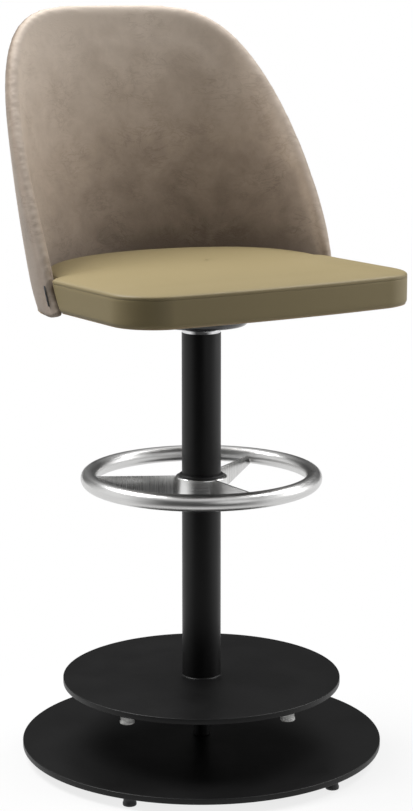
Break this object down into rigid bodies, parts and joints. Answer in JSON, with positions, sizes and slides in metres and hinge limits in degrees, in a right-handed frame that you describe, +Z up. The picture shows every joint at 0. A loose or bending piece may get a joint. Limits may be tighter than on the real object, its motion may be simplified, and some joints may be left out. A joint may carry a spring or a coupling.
{
  "type": "swivel bar stool",
  "caption": "Swivel bar stool with a padded wrap-round shell back, a crowned cushion, a column with a foot ring and two stacked round plates.",
  "frame": {"origin": "on the floor, on the axis of the column", "axes": "+Z up along the column; -Y towards the front of the seat, where the sitter's knees are; +X to the sitter's left"},
  "size_m": [0.56, 0.56, 1.1499],
  "materials": {
    "powder_coat": "satin black powder coat",
    "zinc_steel": "zinc plated",
    "brushed_stainless": "brushed",
    "bright_chrome": "polished",
    "gloss_cover": "gloss, dark grey",
    "black_nylon": "moulded, matt",
    "white_nylon": "moulded, matt",
    "plywood": "birch plywood",
    "foam": "cut upholstery foam",
    "felt": "black dust cover cloth",
    "seat_leather": "fine grain, semi matt, olive",
    "back_velvet": "mottled velvet, taupe"
  },
  "bodies": {
    "base": {"lower_plate": "powder_coat", "upper_plate": "powder_coat", "spacer_post": "powder_coat", "tie_bolt": "zinc_steel", "tie_bolt_washer": "zinc_steel", "column_plug": "zinc_steel", "column_tube": "powder_coat", "floor_pad_1": "black_nylon", "floor_pad_2": "black_nylon", "floor_pad_3": "black_nylon", "floor_pad_4": "black_nylon", "floor_pad_5": "black_nylon", "plate_glide_1": "white_nylon", "plate_glide_2": "white_nylon", "plate_glide_3": "white_nylon", "plate_glide_4": "white_nylon", "plate_glide_5": "white_nylon", "foot_ring_tube": "brushed_stainless", "foot_ring_spoke_left": "brushed_stainless", "foot_ring_spoke_right": "brushed_stainless", "foot_ring_spoke_front": "brushed_stainless", "foot_ring_hub": "brushed_stainless", "foot_ring_bush": "black_nylon", "foot_ring_grub_screw_1": "zinc_steel", "foot_ring_grub_screw_2": "zinc_steel", "column_cap": "bright_chrome", "thrust_washer": "black_nylon", "bush_carrier": "zinc_steel", "lower_bush": "black_nylon"},
    "seat": {"spindle": "zinc_steel", "retaining_ring": "zinc_steel", "swivel_cover": "gloss_cover", "swivel_plate": "powder_coat", "swivel_plate_screw_1": "zinc_steel", "swivel_plate_screw_2": "zinc_steel", "swivel_plate_screw_3": "zinc_steel", "swivel_plate_screw_4": "zinc_steel", "t_nut_1": "zinc_steel", "t_nut_2": "zinc_steel", "t_nut_3": "zinc_steel", "t_nut_4": "zinc_steel", "seat_board": "plywood", "seat_foam": "foam", "seat_side_band": "seat_leather", "seat_top_panel": "seat_leather", "dust_cover": "felt", "back_core": "plywood", "back_foam": "foam", "back_cover": "back_velvet", "back_bracket_left": "powder_coat", "back_bracket_middle": "powder_coat", "back_bracket_right": "powder_coat", "bracket_screw_left_foot": "zinc_steel", "bracket_screw_left_upright": "zinc_steel", "bracket_screw_middle_foot": "zinc_steel", "bracket_screw_middle_upright": "zinc_steel", "bracket_screw_right_foot": "zinc_steel", "bracket_screw_right_upright": "zinc_steel"}
  },
  "joints": [
    {"name": "seat_swivel", "type": "hinge", "parent": "base", "child": "seat", "pos_m": [0, 0, 0.6757], "axis": [0, 0, 1], "continuous": true}
  ]
}
